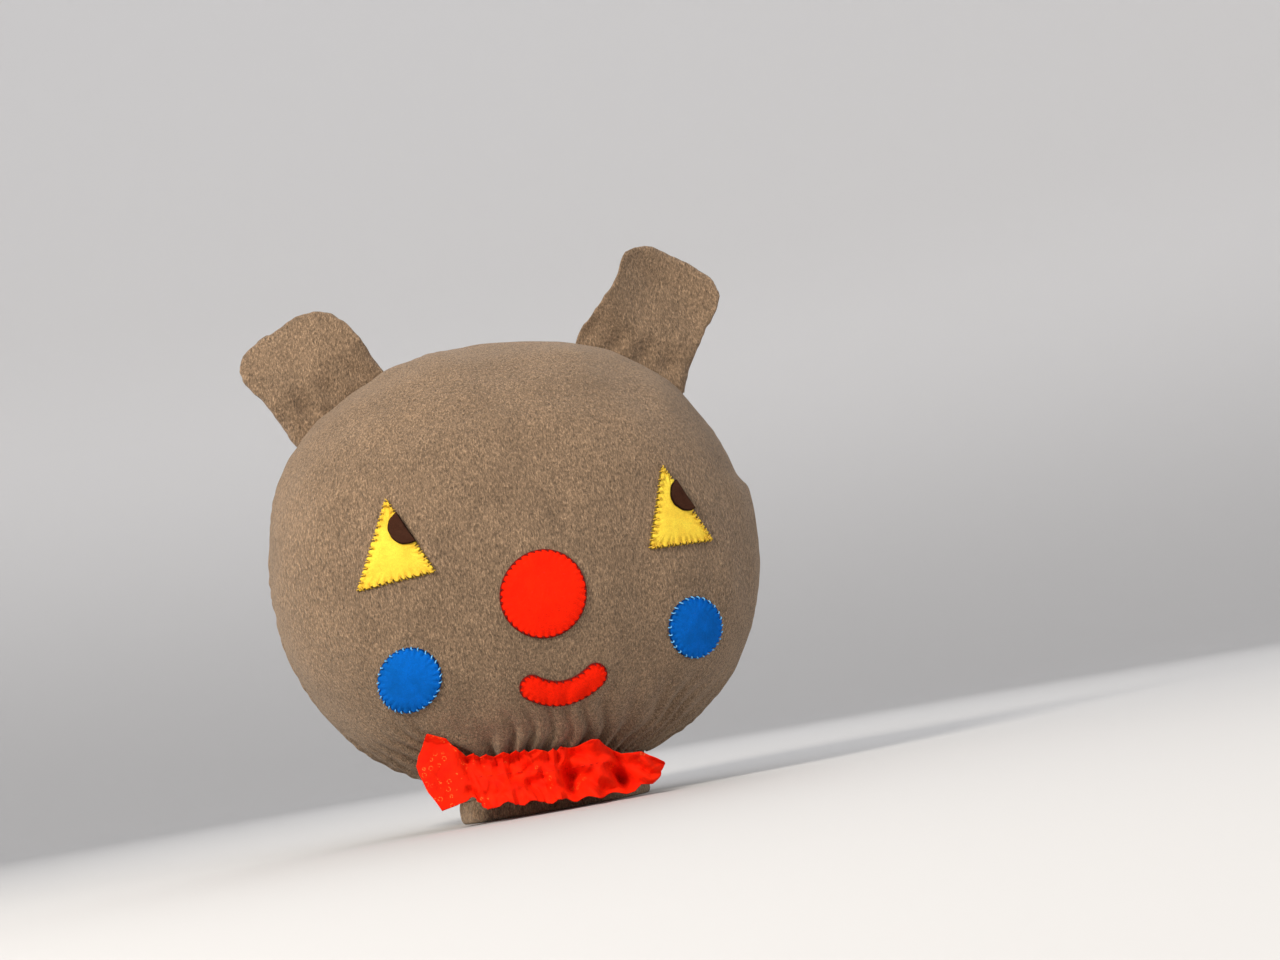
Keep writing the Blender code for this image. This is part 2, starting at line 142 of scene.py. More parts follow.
def lumps(points, wave, seed, count=18):
    """Smooth unevenness of about the given wavelength, mostly between -1 and 1."""
    draw = np.random.default_rng(seed)
    waves = draw.normal(size=(count, 3))
    length = np.linalg.norm(waves, axis=1, keepdims=True)
    waves *= 2 * pi / wave * draw.uniform(0.6, 1.5, (count, 1))
    waves /= length
    shifts = draw.uniform(0, 2 * pi, count)
    return np.sin(np.asarray(points) @ waves.T + shifts).sum(1) * sqrt(2 / count) * 0.6


def smoothstep(a, b, x):
    """0 before a, 1 past b and smooth between them; b may be less than a."""
    t = np.clip((np.asarray(x, float) - a) / (b - a), 0, 1)
    return t * t * (3 - 2 * t)


def bell(x, middle, width):
    return np.exp(-((x - middle) / width) ** 2)


def keep_rest(obj):
    """Stores the rest places, so that a texture stays on the cloth when it moves."""
    at = obj.data.attributes.get("rest_co") or obj.data.attributes.new("rest_co", "FLOAT_VECTOR", "POINT")
    at.data.foreach_set("vector", points_of(obj).ravel())


def finish_piece(obj, mat, slot, nodes=(), blend=None):
    """Gives a piece its material and hides the CAD parts it stands for (nodes, or else slot); it rides on
    the head unless blend is given, and then stays on no body.
    """
    obj.data.materials.clear()
    obj.data.materials.append(mat)
    if blend:
        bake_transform(obj)
    else:
        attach(obj, "head")
    keep_rest(obj)
    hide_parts(*(nodes or [slot]))
    return obj


# ---- materials ----
class Nodes:
    """Builds one node material; each call adds a node and gives back its output."""

    def __init__(self, name, **sockets):
        self.mat = bpy.data.materials.new(name)
        self.mat.use_nodes = True
        self.tree = self.mat.node_tree
        self.shader = self.tree.nodes["Principled BSDF"]
        for key, value in sockets.items():
            self.shader.inputs[key.replace("_", " ")].default_value = value
        where = self.add("ShaderNodeAttribute")
        where.attribute_name = "rest_co"
        self.where = where.outputs["Vector"]

    def add(self, kind, links=(), **settings):
        node = self.tree.nodes.new(kind)
        for key, value in settings.items():
            setattr(node, key, value)
        for socket, source in links:
            self.put(node.inputs[socket], source)
        return node

    def put(self, socket, source):
        if isinstance(source, bpy.types.NodeSocket):
            self.tree.links.new(source, socket)
        else:
            socket.default_value = source

    def stretched(self, scale, turn=(0, 0, 0)):
        """The rest place, scaled and turned, for a pattern that is drawn out one way."""
        node = self.add("ShaderNodeMapping", [("Vector", self.where), ("Scale", scale), ("Rotation", turn)])
        return node.outputs["Vector"]

    def noise(self, scale, detail=2.0, rough=0.5, vector=None, distortion=0.0):
        node = self.add("ShaderNodeTexNoise", [("Vector", vector or self.where), ("Scale", scale),
                                               ("Detail", detail), ("Roughness", rough),
                                               ("Distortion", distortion)])
        return node.outputs["Fac"]

    def ramp(self, source, stops):
        """Colours at stops between 0 and 1."""
        node = self.add("ShaderNodeValToRGB", [("Fac", source)])
        ramp = node.color_ramp
        while len(ramp.elements) < len(stops):
            ramp.elements.new(0.5)
        for element, (at, colour) in zip(ramp.elements, stops):
            element.position = at
            element.color = (*colour, 1)
        return node.outputs["Color"]

    def mix(self, kind, factor, a, b):
        node = self.add("ShaderNodeMix", data_type="RGBA", blend_type=kind)
        self.put(node.inputs["Factor"], factor)
        self.put(node.inputs[6], a)
        self.put(node.inputs[7], b)
        return node.outputs[2]

    def shaded(self, base, *layers):
        """A colour multiplied by each layer in turn."""
        for layer in layers:
            base = self.mix("MULTIPLY", 1.0, base, layer)
        return base

    def maths(self, operation, a, b):
        node = self.add("ShaderNodeMath", operation=operation)
        self.put(node.inputs[0], a)
        self.put(node.inputs[1], b)
        return node.outputs[0]

    def weave(self, scale):
        """Threads crossing at right angles, as the cloth is seen from the front."""
        links = [("Vector", self.where), ("Scale", scale), ("Distortion", 0.8)]
        waves = [self.add("ShaderNodeTexWave", links, bands_direction=way).outputs["Fac"] for way in "XZ"]
        return self.maths("MULTIPLY", *waves)

    def colour(self, source):
        self.put(self.shader.inputs["Base Color"], source)

    def bump(self, *layers):
        """Each layer is a height between 0 and 1 and its depth in metres."""
        normal = None
        for height, depth in layers:
            node = self.add("ShaderNodeBump", [("Height", height), ("Strength", 1.0), ("Distance", depth)])
            if normal:
                self.put(node.inputs["Normal"], normal)
            normal = node.outputs["Normal"]
        self.put(self.shader.inputs["Normal"], normal)


def grey(v):
    return (v, v, v)


def fleece(name, seed=0.0):
    """Short brushed pile: flecks drawn out up and down, patches of lay, a soft sheen."""
    m = Nodes(name, Roughness=0.95, Sheen_Weight=0.30, Sheen_Roughness=0.5,
              Sheen_Tint=(0.90, 0.78, 0.66, 1), Specular_IOR_Level=0.12)
    pile = m.noise(1.0, 3, 0.60, m.stretched((1450, 1450, 560), (0.1, 0.06, 0.1)))
    tufts = m.noise(1.0, 2, 0.55, m.stretched((640, 640, 300), (-0.08, 0.1, 0.0)))
    fine = m.noise(1.0, 2, 0.6, m.stretched((2600, 2600, 1100)))
    lay = m.noise(34.0 + seed, 3, 0.55)
    flecks = m.ramp(pile, [(0.30, grey(0.42)), (0.46, grey(0.86)), (0.56, grey(1.10)), (0.72, grey(1.90))])
    clumps = m.ramp(tufts, [(0.32, grey(0.80)), (0.50, grey(1.0)), (0.68, grey(1.20))])
    patches = m.ramp(lay, [(0.3, (0.88, 0.87, 0.86)), (0.7, (1.10, 1.09, 1.08))])
    grain = m.ramp(fine, [(0.3, grey(0.82)), (0.7, grey(1.18))])
    m.colour(m.shaded((*FLEECE, 1), flecks, clumps, patches, grain))
    m.bump((tufts, 0.0008), (pile, 0.001), (fine, 0.0004))
    return m.mat


def felt(name, colour):
    """Pressed wool felt: tangled fibres, mottling, and painted shade darkening its cut edge where it meets
    the fleece.
    """
    m = Nodes(name, Roughness=0.92, Sheen_Weight=0.25, Sheen_Roughness=0.5,
              Sheen_Tint=(*(min(c * 1.1, 1.0) for c in colour), 1), Specular_IOR_Level=0.08)
    tangle = m.noise(1250.0, 4, 0.7, distortion=1.6)
    mottle = m.noise(170.0, 3, 0.6)
    shade = m.noise(62.0, 2, 0.5)
    # painted shade: the edge attribute darkens the felt's side wall and underside, for the shadow where felt
    # meets fleece
    cut = m.add("ShaderNodeAttribute", attribute_name="painted_edge_shade").outputs["Fac"]
    m.colour(m.shaded((*colour, 1),
                      m.ramp(tangle, [(0.32, grey(0.78)), (0.68, grey(1.18))]),
                      m.ramp(mottle, [(0.3, (0.93, 0.86, 0.84)), (0.7, (1.05, 1.08, 1.10))]),
                      m.ramp(shade, [(0.3, (0.96, 0.84, 0.80)), (0.7, (1.02, 1.06, 1.10))]),
                      m.ramp(cut, [(0.1, grey(1.0)), (0.8, grey(0.22))])))
    m.bump((tangle, 0.00035), (mottle, 0.0006))
    return m.mat


def cotton_thread(name, colour, roughness):
    """Two-ply sewing thread: slanting twist, and the less shine the rougher it is."""
    m = Nodes(name, Roughness=roughness, Specular_IOR_Level=0.6 - 0.5 * roughness)
    wave = m.add("ShaderNodeTexWave", [("Vector", m.stretched((1, 1, 1), (0.5, 0.7, 0.4))), ("Scale", 620.0),
                                       ("Distortion", 1.0)], wave_type="BANDS", bands_direction="DIAGONAL")
    twist = wave.outputs["Fac"]
    m.colour(m.shaded((*colour, 1), m.ramp(twist, [(0.1, grey(0.68)), (0.8, grey(1.15))])))
    m.bump((twist, 0.00012))
    return m.mat


def ruffle_cloth(name):
    """Thin soft cotton with a fine weave, faint crush lines and small rings of pale dots."""
    m = Nodes(name, Roughness=0.75, Sheen_Weight=0.10, Sheen_Roughness=0.4, Sheen_Tint=(1, 0.12, 0.03, 1),
              Specular_IOR_Level=0.08)
    weave = m.weave(700.0)
    crush = m.noise(240.0, 3, 0.55, distortion=0.8)
    tone = m.ramp(m.noise(110.0, 3, 0.6), [(0.3, (0.82, 0.010, 0.001)), (0.7, (1.0, 0.020, 0.001))])
    base = m.shaded(tone, m.ramp(crush, [(0.3, grey(0.88)), (0.7, grey(1.06))]),
                    m.ramp(weave, [(0.0, grey(0.93)), (0.7, grey(1.03))]))
    cells = m.add("ShaderNodeTexVoronoi", [("Vector", m.where), ("Scale", 250.0), ("Randomness", 0.6)])
    ring = m.ramp(cells.outputs["Distance"],
                  [(0.20, grey(0)), (0.25, grey(1)), (0.30, grey(1)), (0.35, grey(0))])
    specks = m.ramp(m.noise(1500.0, 1, 0.4), [(0.46, grey(0)), (0.54, grey(1))])
    along = m.add("ShaderNodeSeparateXYZ", [("Vector", m.where)]).outputs["X"]
    fan = m.add("ShaderNodeMapRange", [("Value", along), ("From Min", -0.046), ("From Max", -0.060),
                                       ("To Min", 0.0), ("To Max", 0.16)]).outputs["Result"]
    patch = m.maths("ADD", m.noise(75.0, 1, 0.4), fan)
    cluster = m.ramp(patch, [(0.59, grey(0)), (0.66, grey(1))])
    dots = m.maths("MULTIPLY", m.maths("MULTIPLY", ring, specks), cluster)
    m.colour(m.mix("MIX", m.maths("MULTIPLY", dots, 0.45), base, (1.0, 0.30, 0.05, 1)))
    m.bump((weave, 0.00006), (crush, 0.0003))
    return m.mat


def woven_lining(name):
    """Plain brown lining with an open weave."""
    m = Nodes(name, Roughness=0.85, Sheen_Weight=0.15, Specular_IOR_Level=0.2)
    weave = m.weave(520.0)
    tone = m.ramp(m.noise(60.0, 3, 0.6), [(0.3, (0.22, 0.17, 0.13)), (0.7, (0.32, 0.25, 0.195))])
    m.colour(m.shaded(tone, m.ramp(weave, [(0.0, grey(0.75)), (0.6, grey(1.1))])))
    m.bump((weave, 0.00015))
    return m.mat


# ---- the head's form ----
HEAD_SHRINK, HEAD_VOXEL = 0.0035, 0.0055
SEAM_DEPTH, SEAM_ALLOWANCE = 0.0015, 0.005
RIM_RADIUS, PUCKER_SPACING, PUCKER_DEPTH = 0.131, 0.0115, 0.0006
NECK_RADIUS, GATHER_SPACING, GATHER_DEPTH = 0.058, 0.0088, 0.0036
FLEECE_THICK = 0.0012


def rim_radius(angle, grow=0.0):
    """Distance from the head's middle to its outline in each direction."""
    across = np.abs(np.cos(angle)) / (HALF_WIDTH + grow)
    up = np.abs(np.sin(angle)) / (HALF_HEIGHT + grow)
    return (across ** OUTLINE + up ** OUTLINE) ** (-1 / OUTLINE)


def rim_share(x, z):
    """0 at the middle of the head and 1 on its outline, as it is seen from the front."""
    across = (np.abs(x) / HALF_WIDTH) ** OUTLINE
    up = (np.abs(z) / HALF_HEIGHT) ** OUTLINE
    return (across + up) ** (1 / OUTLINE)


def level(points):
    """1 on the head's surface, less inside and more outside."""
    share = rim_share(points[:, 0], points[:, 2] - CENTRE_Z)
    return (share ** PILLOW + (np.abs(points[:, 1]) / HALF_DEPTH) ** PILLOW) ** (1 / PILLOW)


def face_depth(x, z, limit=1.0):
    """Y of the face at a place, and of the rim outside it."""
    share = np.clip(rim_share(x, z), 0, limit)
    return -HALF_DEPTH * (1 - share ** PILLOW) ** (1 / PILLOW)


def face_normal(x, z):
    """Direction out of the face at a place, from the slope of level there."""
    small = 1e-5
    place = np.array([[x, face_depth(x, z, 0.995), z + CENTRE_Z]])
    slope = level(place + small * np.eye(3)) - level(place)
    return Vector(slope).normalized()


def pillow(name, outline, fullness, depth, middle, rings):
    """Closed cushion about the plane Y = 0; outline gives its reach from the middle in each direction."""
    bm = bmesh.new()
    bmesh.ops.create_uvsphere(bm, u_segments=96, v_segments=rings, radius=1.0)
    bm.verts.ensure_lookup_table()
    verts = np.array([(w.co.x, -w.co.z, w.co.y) for w in bm.verts])
    faces = [[w.index for w in f.verts] for f in bm.faces]
    bm.free()
    flat = np.minimum(np.hypot(verts[:, 0], verts[:, 2]), 1.0)
    angle = np.arctan2(verts[:, 2], verts[:, 0])
    reach = flat ** (2 / fullness) * outline(angle)
    y = np.abs(verts[:, 1]) ** (2 / fullness) * depth * np.sign(verts[:, 1])
    x, z = reach * np.cos(angle) + middle[0], reach * np.sin(angle) + middle[1]
    return mesh_object(name, np.c_[x, y, z], faces)


def inflate(obj, pinned, frames, pressure, cap):
    """Lets a cover swell as cloth under its filling's pressure, up to the cap."""
    start = points_of(obj)
    group = obj.vertex_groups.new(name="seam")
    for index in np.nonzero(pinned)[0]:
        group.add([int(index)], 1.0, "REPLACE")
    mod = obj.modifiers.new("cloth", "CLOTH")
    cloth = mod.settings
    cloth.quality = 5
    cloth.mass = 0.25
    cloth.tension_stiffness = cloth.compression_stiffness = 12
    cloth.shear_stiffness = 5
    cloth.bending_stiffness = 0.4
    cloth.use_pressure = True
    cloth.uniform_pressure_force = pressure
    cloth.effector_weights.gravity = 0
    cloth.vertex_group_mass = "seam"
    scene = bpy.context.scene
    mod.point_cache.frame_start = 1
    mod.point_cache.frame_end = frames
    for step in range(1, frames + 1):
        scene.frame_set(step)
    swollen = obj.evaluated_get(bpy.context.evaluated_depsgraph_get())
    move = points_of(swollen) - start
    far = np.linalg.norm(move, axis=1, keepdims=True)
    obj.modifiers.remove(mod)
    obj.vertex_groups.clear()
    scene.frame_set(1)
    set_points(obj, start + move * np.minimum(far, cap) / np.maximum(far, 1e-9))


def settle_head(obj):
    """Brings the swollen cover back to the head's form, a little uneven, and slackens parts of its rim."""
    p = points_of(obj)
    offset = p - [0, 0, CENTRE_Z]
    swell = level(p)
    kept = 1 + np.clip((swell - np.median(swell)) * 0.55, -0.012, 0.010)
    offset *= (kept / np.maximum(swell, 0.2))[:, None]
    angle = np.arctan2(offset[:, 2], offset[:, 0])
    degrees = np.degrees(angle)
    slack = smoothstep(9.0, 12.5, degrees) * smoothstep(43.0, 29.0, degrees)
    pull = -0.0046 * slack + 0.0008 * bell(degrees, 5.0, 3.5) - 0.003 * bell(degrees % 360, 212, 20)
    rim = np.clip(rim_share(p[:, 0], p[:, 2] - CENTRE_Z), 0, 1) ** 5
    out = np.c_[np.cos(angle), np.zeros(len(p)), np.sin(angle)]
    offset += out * (pull * rim)[:, None]
    set_points(obj, offset + [0, 0, CENTRE_Z])


def detail_head(obj):
    """Puckered seam round the rim, gathers at the neck, and soft lumps of the filling."""
    p, n = points_of(obj), normals_of(obj)
    angle = np.arctan2(p[:, 2] - CENTRE_Z, p[:, 0])
    rim_run = angle * RIM_RADIUS
    from_seam = np.abs(p[:, 1])
    pucker = np.sin(2 * pi * (rim_run / PUCKER_SPACING + 0.55 * lumps(p, 0.05, 3)))
    pucker *= np.exp(-(from_seam / 0.014) ** 1.4) * (0.55 + 0.45 * lumps(p, 0.09, 5))
    rise = -SEAM_DEPTH * bell(from_seam, 0.0, 0.0026) + PUCKER_DEPTH * pucker
    rise += 0.0011 * lumps(p, 0.085, 11) + 0.00045 * lumps(p, 0.034, 12)
    low = smoothstep(0.074, 0.032, p[:, 2])
    neck_run = np.arctan2(p[:, 0], -p[:, 1] * 1.25) * NECK_RADIUS
    fold = 0.5 + 0.5 * np.sin(2 * pi * (neck_run / GATHER_SPACING + 0.50 * lumps(p, 0.045, 21)))
    chin = 1 + 0.6 * bell(p[:, 0], 0.0, 0.04) * (p[:, 1] < 0)
    rise -= GATHER_DEPTH * chin * low ** 1.4 * fold ** 1.6 * (0.7 + 0.3 * lumps(p, 0.05, 22))
    set_points(obj, p + n * rise[:, None])


def cut_neck(bm):
    """Opens the neck and draws its edge onto the hem's oval."""
    wide, deep = NECK_WIDE + 0.0006, NECK_DEEP + 0.0006
    inside = [v for v in bm.verts if v.co.z < 0.06 and (v.co.x / wide) ** 2 + (v.co.y / deep) ** 2 < 1]
    bmesh.ops.delete(bm, geom=inside, context="VERTS")
    for v in bm.verts:
        if v.is_boundary and abs(v.co.z) < 0.05:
            reach = sqrt((v.co.x / wide) ** 2 + (v.co.y / deep) ** 2)
            if reach < 1.2:
                v.co.x /= reach
                v.co.y /= reach


def turn_in(bm, edges, move):
    """Adds a strip of cloth along the edges, whose far side is where move puts it."""
    made = bmesh.ops.extrude_edge_only(bm, edges=edges)["geom"]
    for v in made:
        if isinstance(v, bmesh.types.BMVert):
            v.co = move(v.co)


def head_half(skin, name, front):
    """One panel of the head as a closed shell, turned in at its seam and neck."""
    obj = skin.copy()
    obj.data = skin.data.copy()
    obj.name = obj.data.name = name
    bpy.context.scene.collection.objects.link(obj)
    bm = bmesh.new()
    bm.from_mesh(obj.data)
    away = Vector((0, 1, 0)) if front else Vector((0, -1, 0))
    bmesh.ops.bisect_plane(bm, geom=bm.verts[:] + bm.edges[:] + bm.faces[:], dist=1e-6,
                           plane_co=(0, 0, 0), plane_no=away, clear_outer=True)
    cut_neck(bm)
    rim = [e for e in bm.edges if e.is_boundary and all(abs(v.co.y) < 1e-5 for v in e.verts)]
    middle = Vector((0, 0, CENTRE_Z))
    turn_in(bm, rim, lambda co: co + (middle - co).normalized() * SEAM_ALLOWANCE)
    neck = [e for e in bm.edges if e.is_boundary and all(v.co.z < 0.05 for v in e.verts)
            and not all(abs(v.co.y) < 1e-5 for v in e.verts)]
    turn_in(bm, neck, lambda co: co + Vector((0, 0, SEAM_ALLOWANCE)))
    bm.to_mesh(obj.data)
    bm.free()
    inner = obj.vertex_groups.new(name="inner")
    cloth = obj.modifiers.new("thickness", "SOLIDIFY")
    cloth.thickness = FLEECE_THICK
    cloth.offset = -1.0
    cloth.shell_vertex_group = inner.name
    return modified(obj, "DECIMATE", ratio=0.66, vertex_group=inner.name)


def make_head():
    """The head's cover in its two halves; gives back the face."""
    skin = pillow("head_skin", lambda angle: rim_radius(angle, -HEAD_SHRINK), PILLOW,
                  HALF_DEPTH - HEAD_SHRINK, (0, CENTRE_Z), rings=48)
    modified(skin, "REMESH", mode="VOXEL", voxel_size=HEAD_VOXEL, use_smooth_shade=True)
    p = points_of(skin)
    seam = (np.abs(p[:, 1]) < 0.004) | (p[:, 2] < 0.032)
    inflate(skin, seam, frames=20, pressure=4.0, cap=0.007)
    settle_head(skin)
    modified(skin, "SUBSURF", levels=2, render_levels=2, use_limit_surface=False)
    detail_head(skin)
    face = head_half(skin, "face_fleece", True)
    back = head_half(skin, "back_fleece", False)
    bpy.data.objects.remove(skin)
    finish_piece(face, fleece("face_pile"), "face_panel", ["face_panel", "head_stuffing"])
    finish_piece(back, fleece("back_pile", seed=3.0), "back_panel")
    return face


# ---- felt face ----
OUTLINE_STEP = 0.0008
FELT_THICK, EYE_FELT_THICK, PUPIL_THICK = 0.0015, 0.0018, 0.0016
SUNK = -0.0009  # how far a felt's underside lies in the pile
GROOVE_LONG, GROOVE_WIDE = 0.0022, 0.0008  # the furrow that each stitch presses


class Surface:
    """Finds the fleece under a place on the face."""

    def __init__(self, obj):
        self.tree = BVHTree.FromPolygons([v.co for v in obj.data.vertices],
                                         [p.vertices[:] for p in obj.data.polygons])

    def at(self, x, z, height=0.0):
        hit = self.tree.ray_cast(Vector((x, -0.3, z + CENTRE_Z)), Vector((0, 1, 0)))[0]
        if hit is None:
            hit = Vector((x, 0, z + CENTRE_Z))
        return hit + face_normal(x, z) * height


def circle(centre, radius):
    """Hand-cut disc, a little out of round, with its middle as the skeleton."""
    count = int(2 * pi * radius / OUTLINE_STEP)
    t = np.linspace(0, 2 * pi, count, endpoint=False)
    wobble = 1 + 0.012 * np.sin(2 * t + centre[0] * 90) + 0.008 * np.sin(3 * t + centre[1] * 70)
    edge = np.c_[centre[0] + radius * wobble * np.cos(t), centre[1] + radius * wobble * np.sin(t)]
    return edge, np.tile(centre, (count, 1))


def polygon(corners):
    """Straight edges and slightly blunt corners, with the middle as the skeleton."""
    corners = np.array(corners)
    edge = []
    for a, b in zip(corners, np.roll(corners, -1, 0)):
        count = int(np.linalg.norm(b - a) / OUTLINE_STEP)
        t = np.linspace(0, 1, count, endpoint=False)[:, None]
        edge.append(a + (b - a) * t)
    edge = np.vstack(edge)
    for _ in range(2):
        edge = (np.roll(edge, 1, 0) + 2 * edge + np.roll(edge, -1, 0)) / 4
    return edge, np.tile(corners.mean(0), (len(edge), 1))


def half_disc(centre, along, radius):
    """Half circle whose straight side lies on the eye's slanted edge."""
    inward = np.array([along[1], -along[0]])
    t = np.linspace(-pi / 2, pi / 2, int(pi * radius / OUTLINE_STEP))
    reach = (radius * (1 + 0.012 * np.sin(5 * t + centre[0] * 400) + 0.008 * np.sin(11 * t)))[:, None]
    arc = centre + reach * (np.outer(np.cos(t), inward) + np.outer(np.sin(t), along))
    t = np.linspace(1, -1, int(2 * radius / OUTLINE_STEP))[1:-1, None]
    edge = np.vstack([arc, centre + t * radius * along]) - inward * 0.0006
    return edge, np.tile(centre + inward * radius * 0.42, (len(edge), 1))


def smile():
    """A bent band with round ends, and its middle line as the skeleton."""
    reach = 1 - MOUTH_WIDE / MOUTH_LENGTH * 0.92
    s = np.linspace(-reach, reach, int(2 * MOUTH_LENGTH * reach / OUTLINE_STEP))
    x = s * MOUTH_LENGTH
    line = np.c_[MOUTH[0] + x, MOUTH[1] + MOUTH_SAG * s * s + MOUTH_TILT * x]
    slope = np.gradient(line, axis=0)
    slope /= np.linalg.norm(slope, axis=1, keepdims=True)
    up = np.c_[-slope[:, 1], slope[:, 0]]
    ends = []
    for k, sign in ((0, -1), (-1, 1)):
        t = np.linspace(pi / 2, -pi / 2, int(pi * MOUTH_WIDE / OUTLINE_STEP))[1:-1]
        across = np.outer(np.sin(t), up[k]) + np.outer(np.cos(t), slope[k] * sign)
        ends.append(line[k] + MOUTH_WIDE * across)
    left, right = ends
    edge = np.vstack([line + up * MOUTH_WIDE, right, (line - up * MOUTH_WIDE)[::-1], left[::-1]])
    right_end, left_end = np.tile(line[-1], (len(right), 1)), np.tile(line[0], (len(left), 1))
    return edge, np.vstack([line, right_end, line[::-1], left_end])


def anticlockwise(edge, bones):
    x, y = edge[:, 0], edge[:, 1]
    if np.sum(x * np.roll(y, -1) - np.roll(x, -1) * y) < 0:
        return edge[::-1], bones[::-1]
    return edge, bones


def stitch_places(edge, pitch, skip=None):
    """Places along the outline and the direction out of it, at a hand's uneven pitch."""
    step = np.linalg.norm(np.roll(edge, -1, 0) - edge, axis=1)
    run = np.r_[0, np.cumsum(step)]
    count = round(run[-1] / pitch)
    places = []
    for k in range(count):
        at = (k + rng.uniform(-0.12, 0.12)) * run[-1] / count % run[-1]
        i = min(np.searchsorted(run, at, side="right") - 1, len(edge) - 1)
        share = (at - run[i]) / step[i]
        here = edge[i] * (1 - share) + edge[(i + 1) % len(edge)] * share
        along = edge[(i + 3) % len(edge)] - edge[i - 2]
        along /= np.linalg.norm(along)
        if skip is None or not skip(here):
            places.append((here, np.array([along[1], -along[0]]), along))
    return places


def felt_shape(name, surface, edge, bones, places, base=0.0, thick=FELT_THICK, scallop=0.0005):
    """Cut felt whose edge draws in at each stitch; the middle stands up."""
    edge, bones = anticlockwise(edge, bones)
    tips = np.array([here for here, _, _ in places])
    ends = np.array([here - outward * GROOVE_LONG for here, outward, _ in places])
    out = edge - bones
    reach = np.linalg.norm(out, axis=1, keepdims=True)
    out = out / np.maximum(reach, 1e-9)
    if places:
        near = np.min(np.linalg.norm(edge[:, None] - tips, axis=2), axis=1)
        edge = edge + out * (scallop * 0.4 - scallop * 1.5 * bell(near, 0.0, GROOVE_WIDE))[:, None]
    # how far in from the edge each ring lies, and how high
    inset = [(0.0, -0.0007), (0.0, 0.25 * thick), (0.0, 0.62 * thick), (0.0003, 0.88 * thick),
             (0.0009, thick), (0.0018, 1.05 * thick), (0.003, 1.10 * thick)]
    last_inset, top = inset[-1]
    # each point's painted shade: 1 on the felt's cut edge and underside, for the shadow where felt meets
    # fleece
    verts, painted_edge_shades = [], []
    count = len(edge)

    def ring(flat, heights, shade_here=0.0):
        """One loop of points round the shape; the last value is its painted shade, 1 on the cut edge."""
        for (x, z), height in zip(flat, heights):
            verts.append(surface.at(x, z, base + height))
            painted_edge_shades.append(shade_here)

    def pressed(flat, height):
        """Heights over a ring, lower in the furrow under each stitch."""
        if not places or height < 0.3 * thick:
            return np.full(count, height)
        span = tips - ends
        t = np.clip(((flat[:, None] - ends) * span).sum(2) / (span ** 2).sum(1), 0, 1)
        nearest = ends + t[..., None] * span
        away = np.min(np.linalg.norm(flat[:, None] - nearest, axis=2), axis=1)
        return height - (0.25 + 400 * scallop) * thick * bell(away, 0.0, GROOVE_WIDE)

    for share in (0.3, 0.9):
        ring(bones + (edge - bones) * share, np.full(count, SUNK), 1.0)
    for back, height in inset:
        flat = edge - out * np.minimum(back, reach * 0.8)
        ring(flat, pressed(flat, height), max(1.0 - back / 0.0009, 0.0))
    last = edge - out * np.minimum(last_inset, reach * 0.8)
    for share in (0.82, 0.62, 0.42, 0.22, 0.0):
        flat = bones + (last - bones) * share
        ring(flat, pressed(flat, top + 0.0002 * (1 - share * share)))
    faces = grid(len(verts) // count, count)
    under = len(verts)
    verts.append(surface.at(*bones.mean(0), base + SUNK))
    painted_edge_shades.append(1.0)
    faces += [(under, (k + 1) % count, k) for k in range(count)]
    obj = mesh_object(name, verts, faces)
    # the painted shade is stored on the mesh for the felt material
    obj.data.attributes.new("painted_edge_shade", "FLOAT", "POINT").data.foreach_set("value", painted_edge_shades)
    bm = bmesh.new()
    bm.from_mesh(obj.data)
    bmesh.ops.remove_doubles(bm, verts=bm.verts, dist=2e-5)
    bmesh.ops.recalc_face_normals(bm, faces=bm.faces)
    bm.to_mesh(obj.data)
    bm.free()
    obj.data.shade_smooth()
    return obj


def tubes(name, paths, radius, sides=8):
    """Round threads along the given paths, closed at both ends."""
    verts, faces = [], []
    for path in paths:
        path = [Vector(p) for p in path]
        first = len(verts)
        side = None
        for k, p in enumerate(path):
            along = (path[min(k + 1, len(path) - 1)] - path[max(k - 1, 0)]).normalized()
            if side is None:
                side = along.cross(Vector((0.31, 0.2, 0.93))).normalized()
            side = (side - along * side.dot(along)).normalized()
            other = along.cross(side)
            thin = 0.55 if k in (0, len(path) - 1) else 1.0
            for j in range(sides):
                t = 2 * pi * j / sides
                verts.append(p + (side * cos(t) + other * sin(t)) * radius * thin)
        faces += grid(len(path), sides, first=first)
        faces.append(tuple(range(first, first + sides))[::-1])
        faces.append(tuple(range(len(verts) - sides, len(verts))))
    return mesh_object(name, verts, faces)


def stitches(name, surface, edge, places, radius, thick, length, edging_and_shade):
    """Whip stitches over the felt's edge, and a thread round it at the given height, if any, which is partly
    thread and partly painted shade along the edge.
    """
    paths = []
    # the loop round the edge: partly thread, partly painted shade where felt meets fleece
    if edging_and_shade:
        loop = np.vstack([edge, edge[:3]])
        paths.append([surface.at(x, z, edging_and_shade) for x, z in loop])
    for here, out, along in places:
        slant = along * (0.0006 + rng.uniform(-0.0003, 0.0003))
        long = length * rng.uniform(0.85, 1.1)
        steps = [(-1.06, 0.35 * thick), (-0.96, 0.80 * thick), (-0.70, 1.02 * thick), (-0.35, 0.98 * thick),
                 (-0.08, 0.85 * thick), (0.10, 0.45 * thick), (0.17, -0.0001), (0.18, -0.0009)]
        path = []
        for share, h in steps:
            flat = here + out * (share * long) + slant * min(share, 0)
            path.append(surface.at(flat[0], flat[1], h + radius * (0.5 if h > 0 else 0)))
        paths.append(path)
    return tubes(name, paths, radius)


